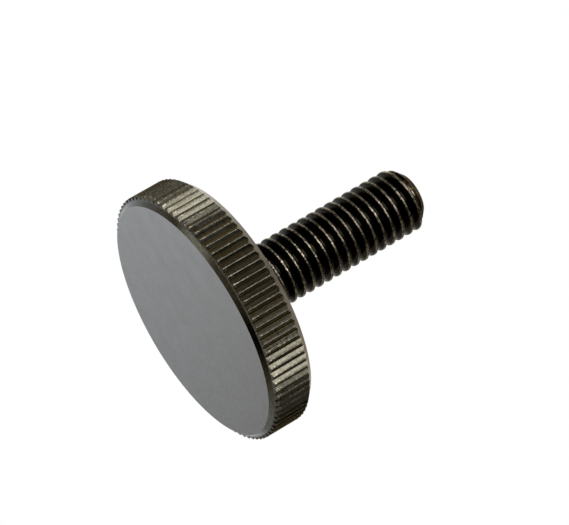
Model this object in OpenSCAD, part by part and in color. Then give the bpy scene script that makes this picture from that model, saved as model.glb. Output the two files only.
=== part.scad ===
// Flat thumb screw: a thin knurled head on a fully threaded shank, turned in one piece from bar.
// It stands on the flat outer face of its head, with the shank pointing up along +Z.
// The origin is the middle of that face. All lengths are in millimetres.

/* [Head] */
// Diameter of the head over the knurled rim
head_d = 19.5; // [12:0.1:30]
// Thickness of the head
head_h = 3.7; // [2:0.05:8]
// Bevel round the outer face, alike along the radius and the axis
front_bevel = 0.3; // [0.1:0.05:0.8]
// Bevel behind the knurl, alike along the radius and the axis
back_bevel = 0.6; // [0.3:0.05:1]

/* [Knurl] */
// Straight grooves round the rim
knurl_count = 90; // [40:1:110]
// Angle between the two walls of a groove
knurl_angle = 93; // [80:1:110]
// Land left on top of a crest, between its rounded shoulders
knurl_land = 0.01; // [0.01:0.01:0.06]
// Radius of those shoulders
knurl_crest_r = 0.1; // [0.04:0.01:0.12]
// Radius at the bottom of a groove
knurl_root_r = 0.04; // [0.02:0.01:0.08]
// How far the crests stand out beyond the front bevel
knurl_proud = 0.28; // [0.2:0.01:0.4]
// How much further back the crests start than the grooves
knurl_lead = 0.08; // [0.02:0.01:0.2]

/* [Shank] */
// Length of the shank from the underside of the head to its tip
shank_l = 15.75; // [8:0.1:40]
// Chamfer at the tip, alike along the radius and the axis
tip_chamfer = 0.8; // [0.5:0.05:1.2]
// Plain length between the head and the first cut of the thread
plain_l = 0.8; // [0.4:0.1:4]
// Radius of the fillet between the head and the shank
fillet_r = 0.2; // [0.1:0.05:0.4]

/* [Thread] */
// Major diameter of the thread
thread_d = 4.95; // [4.8:0.05:6]
// Rise of one turn
thread_pitch = 0.8; // [0.5:0.05:0.8]
// Angle round the axis at which the groove starts
thread_start = 97; // [0:1:360]
// Turns over which the groove comes in to its full depth
runout_turns = 1; // [0.5:0.25:2]
// Straight pieces in one turn of the groove
thread_steps = 36; // [18:2:48]

/* [Hidden] */
$fn = 96;

steel = [0.23, 0.21, 0.18];
overshoot = 0.06; // how far a cutter stands clear of what it cuts

head_r = head_d / 2;
total_h = head_h + shank_l;

knurl_pitch = PI * head_d / knurl_count;
knurl_half_angle = knurl_angle / 2;
knurl_sweep = 90 - knurl_half_angle; // how far a wall turns over into the rim
shoulder_run = knurl_crest_r * tan(knurl_sweep / 2);
shoulder_steps = 3;
root_steps = 2;
knurl_groove_w = knurl_pitch - knurl_land - 2 * shoulder_run; // across the walls, drawn on to the rim
knurl_sharp_depth = knurl_groove_w / 2 / tan(knurl_half_angle); // where the two walls would meet
knurl_root_x = head_r - knurl_sharp_depth + knurl_root_r / sin(knurl_half_angle);

thread_r = thread_d / 2;
flank_angle = 30; // half the included angle of an ISO metric thread
sharp_h = thread_pitch / 2 / tan(flank_angle); // height of the thread form before it is cut off
thread_depth = sharp_h * 17 / 24;
crest_w = thread_pitch / 8;
groove_w = thread_pitch - crest_w;
root_w = groove_w - 2 * thread_depth * tan(flank_angle);
cutter_w = groove_w + 2 * overshoot * tan(flank_angle);
root_r = thread_r - thread_depth;
fillet_steps = 6;

// One wall of a knurl groove, from its rounded root out over the rounded shoulder. side is 1 or -1.
function knurl_wall(side) = [
    for (i = [1:root_steps])
        let (turn = knurl_sweep * i / root_steps)
        [
            knurl_root_x - knurl_root_r * cos(turn),
            side * knurl_root_r * sin(turn)
        ],
    for (i = [0:shoulder_steps])
        let (turn = knurl_sweep * (i / shoulder_steps - 1))
        [
            head_r - knurl_crest_r + knurl_crest_r * cos(turn),
            side * (knurl_groove_w / 2 + shoulder_run + knurl_crest_r * sin(turn))
        ],
    [head_r + overshoot, side * (knurl_groove_w / 2 + shoulder_run)]
];

function reversed(points) = [for (i = [len(points) - 1:-1:0]) points[i]];

// The head before its rim is grooved: outer face, front bevel, knurled band and the bevel behind it
module head_blank() {
    rotate_extrude()
        polygon([
            [0, 0],
            [head_r - knurl_proud - front_bevel, 0],
            [head_r - knurl_proud, front_bevel],
            [head_r, front_bevel + knurl_lead],
            [head_r, head_h - back_bevel],
            [head_r - back_bevel, head_h],
            [0, head_h]
        ]);
}

// One straight groove of the knurl, lying on +X and as long as the head is thick
module knurl_groove() {
    translate([0, 0, -overshoot])
        linear_extrude(head_h + 2 * overshoot)
            polygon(concat([[knurl_root_x - knurl_root_r, 0]], knurl_wall(1), reversed(knurl_wall(-1))));
}

module knurled_head() {
    difference() {
        head_blank();
        for (i = [0:knurl_count - 1])
            rotate(i * 360 / knurl_count)
                knurl_groove();
    }
}

// The turned shank before it is threaded: fillet, body and chamfered tip
module shank_blank() {
    rotate_extrude()
        polygon([
            [0, head_h - overshoot],
            [thread_r + fillet_r, head_h - overshoot],
            for (i = [0:fillet_steps])
                let (turn = 90 * i / fillet_steps)
                [
                    thread_r + fillet_r * (1 - sin(turn)),
                    head_h + fillet_r * (1 - cos(turn))
                ],
            [thread_r, total_h - tip_chamfer],
            [thread_r - tip_chamfer, total_h],
            [0, total_h]
        ]);
}

// The four corners of the threading tool at a turn angle and a height, drawn back from the axis by lift
function tool_corners(angle, z, lift) = [
    for (corner = [
        [root_r, -root_w / 2],
        [root_r, root_w / 2],
        [thread_r + overshoot, cutter_w / 2],
        [thread_r + overshoot, -cutter_w / 2]
    ])
        [(corner[0] + lift) * cos(angle), (corner[0] + lift) * sin(angle), z + corner[1]]
];

// The helical groove: the tool comes in beside the head, reaches its full depth and runs out past the tip
module thread_groove() {
    start_z = head_h + plain_l + cutter_w / 2;
    end_z = total_h + cutter_w / 2 + overshoot;
    stations = ceil((end_z - start_z) / thread_pitch * thread_steps);
    runout_steps = runout_turns * thread_steps;
    points = [
        for (i = [0:stations])
            each tool_corners(
                thread_start + i * 360 / thread_steps,
                start_z + i * thread_pitch / thread_steps,
                (thread_depth + overshoot) * max(0, 1 - i / runout_steps)
            )
    ];
    sides = [
        for (i = [0:stations - 1], j = [0:3])
            let (a = 4 * i + j, b = 4 * i + (j + 1) % 4)
            each [[a, a + 4, b], [b, a + 4, b + 4]]
    ];
    last = 4 * stations;
    ends = [[0, 1, 2, 3], [last + 3, last + 2, last + 1, last]];
    polyhedron(points, concat(sides, ends));
}

module threaded_shank() {
    difference() {
        shank_blank();
        thread_groove();
    }
}

module thumb_screw() {
    color(steel)
        union() {
            knurled_head();
            threaded_shank();
        }
}

thumb_screw();
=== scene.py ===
import math

import bmesh
import bpy
from mathutils import Matrix, Vector


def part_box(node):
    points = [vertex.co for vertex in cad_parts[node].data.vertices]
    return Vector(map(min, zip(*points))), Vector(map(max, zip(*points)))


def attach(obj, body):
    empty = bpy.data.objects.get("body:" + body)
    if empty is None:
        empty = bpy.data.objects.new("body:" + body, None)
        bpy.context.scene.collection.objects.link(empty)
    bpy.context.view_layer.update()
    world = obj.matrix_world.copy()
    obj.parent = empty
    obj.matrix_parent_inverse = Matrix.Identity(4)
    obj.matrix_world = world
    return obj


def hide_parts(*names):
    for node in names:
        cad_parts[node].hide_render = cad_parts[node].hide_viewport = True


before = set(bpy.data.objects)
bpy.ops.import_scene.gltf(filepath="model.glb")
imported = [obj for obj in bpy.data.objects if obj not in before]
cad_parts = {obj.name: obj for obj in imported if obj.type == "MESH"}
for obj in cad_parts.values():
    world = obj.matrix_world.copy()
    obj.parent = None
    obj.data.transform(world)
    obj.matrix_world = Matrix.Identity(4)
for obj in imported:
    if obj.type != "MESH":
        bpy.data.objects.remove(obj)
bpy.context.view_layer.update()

screw_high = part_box("thumb_screw")[1]


# --- Knurled head -----------------------------------------------------------------------------
# A flat disc turned from steel bar, with a bevel at both sides of its rim. A knurling wheel rolls
# straight grooves into the rim, and the crests between them stand a little proud of the front bevel.

head_r = screw_high[1]
head_h = 0.0037
front_bevel = 0.0003
back_bevel = 0.0006
knurl_count = 90
knurl_groove_share = 0.868  # of the pitch, before the shoulders are rounded
knurl_depth = 0.00028  # where the two flanks would meet, before the root is rounded
knurl_proud = 0.00028  # of the front bevel's rim
knurl_lead = 0.00008  # how much further back the crests start than the roots
knurl_rounding = 0.00004  # along a flank, from its sharp edge to where the rounding starts
rounding_steps = 4
disc_r = head_r - knurl_proud  # where the front bevel ends, just inside the roots of the knurl
hair = 0.000001  # closer than this, two places count as one


def turn_of(point):
    """The angle of a point round the axis, from +X."""
    return math.atan2(point.y, point.x)


def radius_of(point):
    """How far a point lies from the axis."""
    return math.hypot(point.x, point.y)


def choose(piece, parts, test):
    """Selects the verts, edges or faces in edit mode that pass a test of them and of their middle."""
    bpy.ops.mesh.select_mode(type=parts[:-1].upper())
    bpy.ops.mesh.select_all(action="DESELECT")
    mesh = bmesh.from_edit_mesh(piece.data)
    for part in getattr(mesh, parts):
        if parts == "verts":
            middle = part.co
        elif parts == "edges":
            middle = (part.verts[0].co + part.verts[1].co) / 2
        else:
            middle = part.calc_center_median()
        if test(part, middle):
            part.select_set(True)
    mesh.select_flush_mode()
    bmesh.update_edit_mesh(piece.data)


def cut_off(point, normal):
    """Cuts the whole piece in edit mode with a plane, drops what lies beyond it and closes the cut."""
    bpy.ops.mesh.select_all(action="SELECT")
    bpy.ops.mesh.bisect(plane_co=point, plane_no=normal, use_fill=True, clear_outer=True, threshold=1e-8)


def shrink_ring(share, flat_at=None):
    """Scales the chosen ring round the axis, and may lay it flat at a height."""
    rise = 1 if flat_at is None else 0
    bpy.ops.transform.resize(value=(share, share, rise), center_override=(0, 0, flat_at or 0))


tooth_angle = 2 * math.pi / knurl_count
bpy.ops.object.select_all(action="DESELECT")
bpy.ops.mesh.primitive_circle_add(vertices=4 * knurl_count, radius=head_r)
head = bpy.context.object
head.name = "thumb_screw_steel"
bpy.ops.object.mode_set(mode="EDIT")

# one groove of the knurl, with half a land on each side, lies on +X: five points of the circle
choose(head, "verts", lambda vert, middle: abs(turn_of(middle)) > 0.51 * tooth_angle)
bpy.ops.mesh.delete(type="VERT")
bpy.ops.mesh.select_all(action="SELECT")
bpy.ops.mesh.extrude_region_move()
shrink_ring(disc_r / head_r)

# the two points beside the middle move out to the shoulders, and the middle one goes in to the root
outer = (head_r + disc_r) / 2
choose(head, "verts", lambda vert, middle: middle.x > outer and abs(turn_of(middle)) < 0.3 * tooth_angle)
bpy.ops.transform.resize(value=(1, knurl_groove_share * 2, 1), center_override=(0, 0, 0))
choose(head, "verts", lambda vert, middle: middle.x > outer and abs(middle.y) < hair)
bpy.ops.transform.translate(value=(-knurl_depth, 0, 0))
bpy.ops.mesh.select_all(action="SELECT")
bpy.ops.mesh.extrude_region_move(TRANSFORM_OT_translate={"value": (0, 0, head_h)})
bpy.ops.mesh.select_all(action="SELECT")
bpy.ops.mesh.normals_make_consistent(inside=False)

# the rolled shoulders and the root of the groove are rounded
choose(
    head,
    "edges",
    lambda edge, middle: abs(middle.z - head_h / 2) < hair
    and abs(middle.y) < 0.48 * tooth_angle * head_r
    and edge.calc_face_angle() > 0.5,
)
bpy.ops.mesh.bevel(offset=knurl_rounding, segments=rounding_steps, affect="EDGES")

# its two ends are cut off, and the wedge is left open where the next one and the disc meet it
lead_end = front_bevel + knurl_lead
cut_off((head_r, 0, lead_end), (knurl_lead, 0, -knurl_proud))
cut_off((head_r, 0, head_h - back_bevel), (1, 0, 1))
choose(
    head,
    "faces",
    lambda face, middle: abs(abs(turn_of(middle)) - tooth_angle / 2) < 0.0001 or middle.x < disc_r + hair,
)
bpy.ops.mesh.delete(type="FACE")

# as many as there are grooves close the rim
bpy.ops.mesh.select_all(action="SELECT")
bpy.ops.mesh.spin(
    steps=knurl_count - 1,
    dupli=True,
    angle=tooth_angle * (knurl_count - 1),
    center=(0, 0, 0),
    axis=(0, 0, 1),
)
bpy.ops.mesh.select_all(action="SELECT")
bpy.ops.mesh.remove_doubles(threshold=1e-7)

# the front bevel goes down to the outer face, which is filled in flat
choose(head, "verts", lambda vert, middle: middle.z < head_h / 2 and radius_of(middle) < disc_r + hair)
bpy.ops.mesh.extrude_region_move(TRANSFORM_OT_translate={"value": (0, 0, -front_bevel)})
shrink_ring((disc_r - front_bevel) / disc_r, flat_at=0)
bpy.ops.mesh.edge_face_add()


# --- Shank ------------------------------------------------------------------------------------
# Turned from the same bar, so it grows out of the middle of the head with a small fillet. A short
# plain length is left beside the head, where the threading tool comes in.

tip_z = screw_high[2]
thread_r = 0.002475
thread_pitch = 0.0008
thread_depth = 0.00049
tip_chamfer = 0.0008
plain_r = thread_r + 0.00001
plain_l = 0.0008
core_r = thread_r - thread_depth - 0.00008  # hidden inside the thread
fillet_r = 0.0002
fillet_steps = 6

# the rings that the head is drawn in and up through, from the back bevel to the hidden core
shank_rings = [(head_r - back_bevel, head_h), (plain_r + 2 * fillet_r, head_h)]
for step in range(fillet_steps + 1):
    turn = math.radians(90) * step / fillet_steps
    inward = fillet_r * (1 - math.sin(turn))
    upward = fillet_r * (1 - math.cos(turn))
    shank_rings.append((plain_r + inward, head_h + upward))
shank_rings += [(plain_r, head_h + plain_l), (core_r, head_h + 2 * plain_l)]

choose(head, "verts", lambda vert, middle: middle.z > head_h / 2 and radius_of(middle) < disc_r + hair)
ring_r, ring_z = disc_r, head_h - back_bevel + knurl_proud
for next_r, next_z in shank_rings:
    bpy.ops.mesh.extrude_region_move(TRANSFORM_OT_translate={"value": (0, 0, next_z - ring_z)})
    shrink_ring(next_r / ring_r, flat_at=next_z)
    ring_r, ring_z = next_r, next_z
bpy.ops.mesh.edge_face_add()
bpy.ops.mesh.select_all(action="SELECT")
bpy.ops.mesh.normals_make_consistent(inside=False)
bpy.ops.object.mode_set(mode="OBJECT")


# --- Thread -----------------------------------------------------------------------------------
# A right-hand metric thread with a flat crest and root and sixty degrees between its flanks, which
# runs from the tip to the plain length. Its edges are slightly rounded.

flank_rise = thread_depth * math.tan(math.radians(30))
crest_w = thread_pitch * 0.18  # a little wider than the standard eighth
root_w = thread_pitch - crest_w - 2 * flank_rise
thread_rounding = 0.00003
thread_low = 0.00307  # the middle of a root at +X, well inside the head
thread_start = head_h + 0.0003  # hidden inside the plain length
thread_turns = 22
turn_steps = 96

# one pitch of the outline, from the middle of a root to the middle of the next, is turned up the axis
bpy.ops.object.select_all(action="DESELECT")
bpy.ops.mesh.primitive_plane_add(size=0.0002, location=(thread_r - thread_depth, 0, thread_low))
thread = bpy.context.object
bpy.ops.object.transform_apply(location=True)
bpy.ops.object.mode_set(mode="EDIT")
bpy.ops.mesh.select_all(action="SELECT")
bpy.ops.mesh.merge(type="CENTER")
for out, up in (
    (0, root_w / 2),
    (thread_depth, flank_rise),
    (0, crest_w),
    (-thread_depth, flank_rise),
    (0, root_w / 2),
):
    bpy.ops.mesh.extrude_region_move(TRANSFORM_OT_translate={"value": (out, 0, up)})
thread_high = thread_low + thread_pitch
choose(thread, "verts", lambda vert, middle: thread_low + hair < middle.z < thread_high - hair)
bpy.ops.mesh.bevel(offset=thread_rounding, segments=rounding_steps, affect="VERTICES")
bpy.ops.object.mode_set(mode="OBJECT")
turning = thread.modifiers.new("turning", "SCREW")
turning.screw_offset = thread_pitch
turning.iterations = thread_turns
turning.steps = turning.render_steps = turn_steps
bpy.ops.object.modifier_apply(modifier="turning")

# the ends are cut square
bpy.ops.object.mode_set(mode="EDIT")
bpy.ops.mesh.select_all(action="SELECT")
bpy.ops.mesh.remove_doubles(threshold=1e-7)
cut_off((0, 0, thread_start), (0, 0, -1))
cut_off((0, 0, tip_z), (0, 0, 1))
bpy.ops.mesh.select_all(action="SELECT")
bpy.ops.mesh.normals_make_consistent(inside=False)
bpy.ops.object.mode_set(mode="OBJECT")

# the tip is turned down to its chamfer: what is kept lies inside a wider bar that has the chamfer
bar_room = 0.0002
bpy.ops.object.select_all(action="DESELECT")
bpy.ops.mesh.primitive_cylinder_add(
    vertices=turn_steps,
    radius=thread_r + bar_room,
    depth=tip_z,
    location=(0, 0, tip_z / 2),
)
bar = bpy.context.object
bpy.ops.object.transform_apply(location=True)
bpy.ops.object.mode_set(mode="EDIT")
choose(bar, "edges", lambda edge, middle: all(abs(vert.co.z - tip_z) < hair for vert in edge.verts))
bpy.ops.mesh.bevel(offset=tip_chamfer + bar_room, affect="EDGES")
bpy.ops.object.mode_set(mode="OBJECT")


def join_solids(kept, other, operation):
    """Brings two closed solids together into the first one, and drops the second."""
    bpy.ops.object.select_all(action="DESELECT")
    kept.select_set(True)
    bpy.context.view_layer.objects.active = kept
    joining = kept.modifiers.new("joining", "BOOLEAN")
    joining.operation = operation
    joining.solver = "EXACT"
    joining.object = other
    bpy.ops.object.modifier_apply(modifier="joining")
    bpy.data.objects.remove(other)


join_solids(thread, bar, "INTERSECT")
join_solids(head, thread, "UNION")
bpy.ops.object.shade_smooth_by_angle(angle=math.radians(25))

# the flanks of the knurl and of the thread shade flat, and only the rounded edges turn between them
bpy.ops.object.mode_set(mode="EDIT")


def is_flank(face, middle):
    """True for the wide sides of the knurl's teeth, and for the thread's, which slope by thirty degrees."""
    if radius_of(middle) > disc_r:
        return 0 < middle.z < head_h and abs(face.normal.z) < 0.05 and face.calc_area() > 5e-7
    lean = math.degrees(math.asin(abs(face.normal.z)))
    return radius_of(middle) < thread_r and head_h + 0.001 < middle.z < tip_z and 55 < lean < 63


choose(head, "faces", is_flank)
bpy.ops.mesh.set_normals_from_faces(keep_sharp=True)
bpy.ops.object.mode_set(mode="OBJECT")
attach(head, "root")
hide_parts("thumb_screw")


# --- Blackened steel --------------------------------------------------------------------------
# The screw is blackened in a hot bath and oiled. The outer face was faced off on the lathe first
# and takes a paler, even satin, painted with shade from one side to the other; the knurl and the
# thread keep the dark, slightly brown film, worn through in specks along their crests, and the
# knurl's roots and the whole shank are painted near-black for shade.

# the near-black of painted shade, for the knurl's roots and the shank
painted_shade_black = (0.010, 0.008, 0.005)
grain_brown = (0.022, 0.015, 0.004)
film_brown = (0.048, 0.0445, 0.031)
film_olive = (0.057, 0.0570, 0.045)
streak_grey = (0.085, 0.080, 0.063)
bevel_grey = (0.118, 0.107, 0.086)
rubbed_grey = (0.14, 0.125, 0.095)
chipped_grey = (0.25, 0.22, 0.17)
bare_steel = (0.40, 0.345, 0.25)
# painted light and painted shade for the outer face's -X and +X sides
face_painted_light = (0.290, 0.305, 0.322)
face_painted_shade = (0.128, 0.130, 0.130)
face_blue = (0.170, 0.198, 0.222)
face_brown = (0.13, 0.122, 0.112)
face_pale = (0.33, 0.33, 0.32)
film_slant = (0.9, 0.94, 0.99)  # how much light is thrown back at a low slant
bevel_slant = (1, 0.95, 0.86)
knurl_slant = (1, 0.83, 0.51)
shank_slant_painted_shade = (0.68, 0.69, 0.69)
tip_slant = (0.28, 0.20, 0.11)
face_slant = (1, 1, 1)
film_roughness = 0.21
film_roughness_most = 0.26
face_roughness = 0.42

steel = bpy.data.materials.new("blackened_oiled_steel")
steel.use_nodes = True
nodes, links = steel.node_tree.nodes, steel.node_tree.links
surface = nodes["Principled BSDF"]
place = nodes.new("ShaderNodeTexCoord")
axes = nodes.new("ShaderNodeSeparateXYZ")
links.new(place.outputs["Object"], axes.inputs["Vector"])


def ramp(value, low, high, start=0.0, end=1.0):
    """A value that goes from start to end while another goes from low to high."""
    node = nodes.new("ShaderNodeMapRange")
    node.inputs["From Min"].default_value = low
    node.inputs["From Max"].default_value = high
    node.inputs["To Min"].default_value = start
    node.inputs["To Max"].default_value = end
    links.new(value, node.inputs["Value"])
    return node.outputs["Result"]


def combine(operation, first, second):
    """Two values brought together by a Math node; the second may be a plain number."""
    node = nodes.new("ShaderNodeMath")
    node.operation = operation
    links.new(first, node.inputs[0])
    if isinstance(second, (int, float)):
        node.inputs[1].default_value = second
    else:
        links.new(second, node.inputs[1])
    return node.outputs["Value"]


def both(first, second):
    """Two values multiplied, so that a mask is full only where both are."""
    return combine("MULTIPLY", first, second)


def either(first, second):
    """The greater of two values."""
    return combine("MAXIMUM", first, second)


def share_of(value, share):
    """A value from nothing to one, times a share."""
    return ramp(value, 0, 1, 0, share)


def blend_colours(amount, first, second):
    """From the first colour to the second; each is a plain colour or a node's output."""
    node = nodes.new("ShaderNodeMix")
    node.data_type = "RGBA"
    links.new(amount, node.inputs["Factor"])
    for name, colour in (("A", first), ("B", second)):
        if isinstance(colour, tuple):
            node.inputs[name].default_value = (*colour, 1)
        else:
            links.new(colour, node.inputs[name])
    return node.outputs["Result"]


def cloud(grain_w, detail, offset=0.0, grain_l=None):
    """Noise in the steel's own space, whose grains have a width, and may have a length along the axis."""
    moved = nodes.new("ShaderNodeMapping")
    moved.inputs["Location"].default_value = (offset, offset, offset)
    moved.inputs["Scale"].default_value = (1 / grain_w, 1 / grain_w, 1 / (grain_l or grain_w))
    links.new(place.outputs["Object"], moved.inputs["Vector"])
    node = nodes.new("ShaderNodeTexNoise")
    node.inputs["Scale"].default_value = 1
    node.inputs["Detail"].default_value = detail
    links.new(moved.outputs["Vector"], node.inputs["Vector"])
    return node.outputs["Fac"]


height = axes.outputs["Z"]
flat = nodes.new("ShaderNodeVectorMath")
flat.operation = "MULTIPLY"
flat.inputs[1].default_value = (1, 1, 0)
links.new(place.outputs["Object"], flat.inputs[0])
length = nodes.new("ShaderNodeVectorMath")
length.operation = "LENGTH"
links.new(flat.outputs["Vector"], length.inputs[0])
around = length.outputs["Value"]

patches = cloud(0.0022, 3)
grain = cloud(0.00016, 1, offset=5)
speck = cloud(0.00014, 3, offset=9)
streaks = cloud(0.00015, 3, offset=2, grain_l=0.0009)
wear_patches = cloud(0.0006, 2, offset=17)
face_patches = cloud(0.0016, 4, offset=13)
face_specks = cloud(0.0004, 2, offset=21)

# the outer face, the back bevel, which is turned after the knurl is rolled, and the shank
edge = 0.00001  # the unit in which a mask goes from nothing to full
on_face = ramp(height, 0.4 * edge, edge, 1, 0)
bevel_out = head_r + head_h - back_bevel
beyond_seat = ramp(combine("ADD", around, height), bevel_out - 3 * edge, bevel_out - edge)
on_back_bevel = both(beyond_seat, ramp(height, head_h + edge, head_h))
on_shank = ramp(height, head_h + 0.0002, head_h + 0.0004)

# the knurl without the slope at its front: its crests, its roots and its front ends
past_lead = ramp(height, lead_end + edge, lead_end + 3 * edge)
in_rim = both(ramp(around, disc_r, disc_r + edge), ramp(on_back_bevel, 0, 1, 1, 0))
in_knurl = both(in_rim, past_lead)
knurl_crest = ramp(around, head_r - 12 * edge, head_r - 5 * edge)
# where the painted shade lies deep in the knurl's grooves
knurl_root_shade = both(ramp(around, head_r - 23 * edge, head_r - 26 * edge), in_knurl)
near_front = both(ramp(height, 0.0009, 0.0004), past_lead)
knurl_end = both(near_front, ramp(around, head_r - 14 * edge, head_r - 7 * edge))

# the thread's crests and the chamfer at the tip
in_thread = ramp(height, head_h + plain_l + 10 * edge, head_h + plain_l + 40 * edge)
thread_crest = both(ramp(around, thread_r - 8 * edge, thread_r - 4 * edge), in_thread)
chamfer_z = tip_z - tip_chamfer
chamfer_r = thread_r - tip_chamfer
tip_edge = both(
    ramp(height, chamfer_z - 3 * edge, chamfer_z + 3 * edge),
    ramp(around, chamfer_r - 3 * edge, chamfer_r + 3 * edge),
)

# where the film is rubbed on the knurl's crests, chipped at their ends, and scraped off the thread
rubbed = both(both(knurl_crest, past_lead), ramp(speck, 0.54, 0.62))
chipped = both(knurl_end, ramp(speck, 0.46, 0.58))
bare_specks = both(ramp(speck, 0.44, 0.58, 0.12, 1), ramp(wear_patches, 0.38, 0.58, 0.4, 1))
scraped = both(either(thread_crest, share_of(tip_edge, 0.7)), bare_specks)

film = blend_colours(ramp(patches, 0.35, 0.65), film_brown, film_olive)
film = blend_colours(ramp(streaks, 0.35, 0.7, 0, 0.6), film, streak_grey)
film = blend_colours(ramp(grain, 0.38, 0.55, 0.5, 0), film, grain_brown)
# painted shade: the knurl's roots and the whole shank take a near-black film, for the shade deep in the
# grooves and between the thread's flanks
film = blend_colours(either(knurl_root_shade, on_shank), film, painted_shade_black)
film = blend_colours(on_back_bevel, film, bevel_grey)
film = blend_colours(rubbed, film, rubbed_grey)
film = blend_colours(chipped, film, chipped_grey)
film = blend_colours(scraped, film, bare_steel)

# the outer face is painted with shade, bright at -X and dull at +X, for the fall of light across it; it is
# also bluer towards +Y, and faintly mottled
face_reach = 0.0095  # about as far as the face goes from the axis
across = ramp(axes.outputs["X"], -face_reach, face_reach)
along = ramp(axes.outputs["Y"], -face_reach, face_reach, 0, 0.35)
face_steel = blend_colours(across, face_painted_light, face_painted_shade)
face_steel = blend_colours(along, face_steel, face_blue)
face_steel = blend_colours(ramp(face_patches, 0.35, 0.65, 0.2, 0), face_steel, face_brown)
face_steel = blend_colours(ramp(face_specks, 0.4, 0.6, 0, 0.12), face_steel, face_pale)
links.new(blend_colours(on_face, film, face_steel), surface.inputs["Base Color"])
surface.inputs["Metallic"].default_value = 1

# crests are duller than the film between them
worn = either(knurl_crest, share_of(thread_crest, 0.35))
satin = nodes.new("ShaderNodeMix")
links.new(on_face, satin.inputs["Factor"])
film_satin = ramp(grain, 0.3, 0.7, film_roughness, film_roughness_most)
links.new(combine("ADD", film_satin, combine("MULTIPLY", worn, 0.22)), satin.inputs["A"])
satin.inputs["B"].default_value = face_roughness
links.new(satin.outputs["Result"], surface.inputs["Roughness"])

# at a low slant the film throws back less light, least on the tip, and browner light in the knurl; on the
# shank this dimming is painted shade
slant = blend_colours(on_back_bevel, film_slant, bevel_slant)
slant = blend_colours(in_knurl, slant, knurl_slant)
slant = blend_colours(on_shank, slant, shank_slant_painted_shade)
slant = blend_colours(tip_edge, slant, tip_slant)
links.new(blend_colours(on_face, slant, face_slant), surface.inputs["Specular Tint"])

# the oil lies on the film, and not on the outer face
links.new(ramp(on_face, 0, 1, 0.1, 0), surface.inputs["Coat Weight"])
surface.inputs["Coat Roughness"].default_value = 0.15

# the bath and the rolling leave the steel a little uneven, and the thread's crests are torn
relief = nodes.new("ShaderNodeBump")
relief.inputs["Strength"].default_value = 1
relief.inputs["Distance"].default_value = 0.00001
uneven = combine("MULTIPLY", combine("ADD", grain, streaks), 0.22)
torn_places = either(share_of(either(knurl_end, tip_edge), 0.3), thread_crest)
torn = both(share_of(torn_places, 6), speck)
links.new(both(combine("ADD", uneven, torn), ramp(on_face, 0, 1, 1, 0.1)), relief.inputs["Height"])
links.new(relief.outputs["Normal"], surface.inputs["Normal"])
head.data.materials.clear()
head.data.materials.append(steel)


# --- Floor ------------------------------------------------------------------------------------
# A plain pale bench top, just under the outer face that the screw stands on. Only an eye above it
# sees it: from below, and for all other light, it is clear, so that the outer face is seen and lit.

floor_gap = 0.00005
floor_grey = 0.85

bpy.ops.object.select_all(action="DESELECT")
bpy.ops.mesh.primitive_plane_add(size=4, location=(0, 0, -floor_gap))
floor = bpy.context.object
floor.name = "bench_top"
paint = bpy.data.materials.new("pale_bench_top")
paint.use_nodes = True
nodes, links = paint.node_tree.nodes, paint.node_tree.links
matt = nodes["Principled BSDF"]
matt.inputs["Base Color"].default_value = (floor_grey, floor_grey, floor_grey, 1)
matt.inputs["Roughness"].default_value = 0.9
clear = nodes.new("ShaderNodeBsdfTransparent")
ray = nodes.new("ShaderNodeLightPath")
side = nodes.new("ShaderNodeNewGeometry")
from_above = combine("SUBTRACT", ray.outputs["Is Camera Ray"], side.outputs["Backfacing"])
seen = nodes.new("ShaderNodeMixShader")
links.new(from_above, seen.inputs["Fac"])
links.new(clear.outputs["BSDF"], seen.inputs[1])
links.new(matt.outputs["BSDF"], seen.inputs[2])
links.new(seen.outputs["Shader"], nodes["Material Output"].inputs["Surface"])
floor.data.materials.append(paint)


# --- Light ------------------------------------------------------------------------------------
# A room that is white behind the screw and dim in front of it, with four soft patches of light and
# two of shade. Three soft boxes on the -Y side of the screw shine on it from a little above.

behind_screw = (0.25, 0.95, 0.1)
room_dim = 0.01
room_white = 1
dim_warm = (1, 0.78, 0.46)

world = bpy.data.worlds.new("white_room")
bpy.context.scene.world = world
world.use_nodes = True
nodes, links = world.node_tree.nodes, world.node_tree.links
where = nodes.new("ShaderNodeTexCoord")


def towards(direction):
    """How nearly the light comes from a direction: one straight from it, and less beside it."""
    node = nodes.new("ShaderNodeVectorMath")
    node.operation = "DOT_PRODUCT"
    node.inputs[1].default_value = direction
    links.new(where.outputs["Generated"], node.inputs[0])
    return node.outputs["Value"]


backdrop = nodes.new("ShaderNodeMapRange")
backdrop.interpolation_type = "SMOOTHSTEP"
backdrop.inputs["From Min"].default_value = -0.15
backdrop.inputs["From Max"].default_value = 0.7
backdrop.inputs["To Min"].default_value = room_dim
backdrop.inputs["To Max"].default_value = room_white
links.new(towards(behind_screw), backdrop.inputs["Value"])
room = backdrop.outputs["Result"]

# each patch: its direction, how near to that it starts and is full, and its strength, less than
# nothing where it is shade
for direction, rim, core, radiance in (
    ((-0.587, -0.087, -0.805), 0.965, 0.995, 2.2),
    ((-0.33, -0.29, -0.9), 0.8, 0.98, 0.5),
    ((-0.738, 0.27, -0.62), 0.88, 0.98, 0.35),
    ((-0.8, 0.45, 0.4), 0.85, 0.98, 0.6),
    ((0.64, 0.57, 0.51), 0.7, 0.97, -0.55),
    ((0.36, 0.86, -0.36), 0.945, 0.985, -0.6),
):
    room = combine("ADD", room, ramp(towards(direction), rim, core, 0, radiance))

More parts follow.
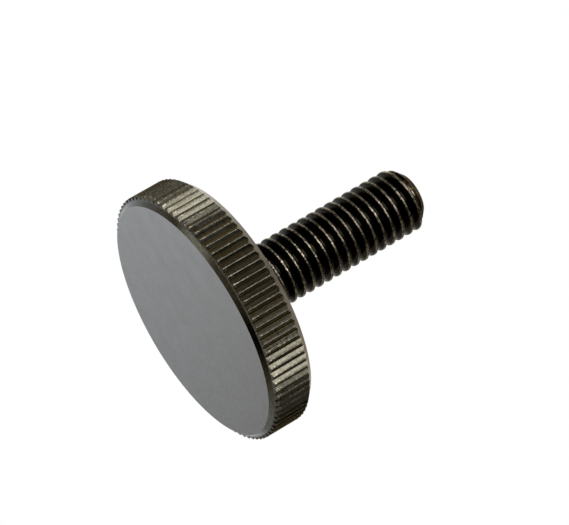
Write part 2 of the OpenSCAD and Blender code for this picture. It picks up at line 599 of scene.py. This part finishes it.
# seen straight, the room is white all round
ray = nodes.new("ShaderNodeLightPath")
strength = either(ray.outputs["Is Camera Ray"], room)
links.new(strength, nodes["Background"].inputs["Strength"])
shade = blend_colours(ramp(strength, 0.1, 0.9), dim_warm, (1, 1, 1))
links.new(shade, nodes["Background"].inputs["Color"])


def soft_box(name, azimuth, elevation, distance, width, height, radiance):
    """A rectangular lamp that looks at the screw's head from an azimuth (0 at +X) and an elevation."""
    turn, rise = math.radians(azimuth), math.radians(elevation)
    away = Vector((math.cos(turn) * math.cos(rise), math.sin(turn) * math.cos(rise), math.sin(rise)))
    lamp = bpy.data.lights.new(name, "AREA")
    lamp.shape = "RECTANGLE"
    lamp.size = width
    lamp.size_y = height
    lamp.energy = radiance * math.pi * width * height
    holder = bpy.data.objects.new(name, lamp)
    bpy.context.collection.objects.link(holder)
    holder.location = away * distance
    holder.rotation_euler = away.to_track_quat("Z", "Y").to_euler()


box_distance = 0.3
soft_box("key_box", 259.5, 24, box_distance, width=0.165, height=0.17, radiance=8.3)
soft_box("fill_box", 217, 24, box_distance, width=0.12, height=0.16, radiance=1.25)
soft_box("right_box", 305, 22, box_distance, width=0.1, height=0.16, radiance=0.35)


# --- Camera -----------------------------------------------------------------------------------
# It looks up at the outer face from well in front of the screw and below it, and is rolled so that
# the shank points up to the right.

camera_place = (0.00079, -0.28377, -0.10414)
camera_right = Vector((0.5035, -0.3167, 0.8039)).normalized()
camera_back = Vector((0.0036, -0.9296, -0.3685)).normalized()
camera_up = camera_back.cross(camera_right).normalized()
camera_right = camera_up.cross(camera_back)

camera_data = bpy.data.cameras.new("camera")
camera = bpy.data.objects.new("camera", camera_data)
bpy.context.collection.objects.link(camera)
bpy.context.scene.camera = camera
camera_data.sensor_width = 36
camera_data.lens = 270.33
camera_data.clip_start = 0.01
camera_data.clip_end = 10
aim = Matrix((camera_right, camera_up, camera_back)).transposed().to_4x4()
camera.matrix_world = Matrix.Translation(camera_place) @ aim

bpy.context.scene.view_settings.view_transform = "Standard"
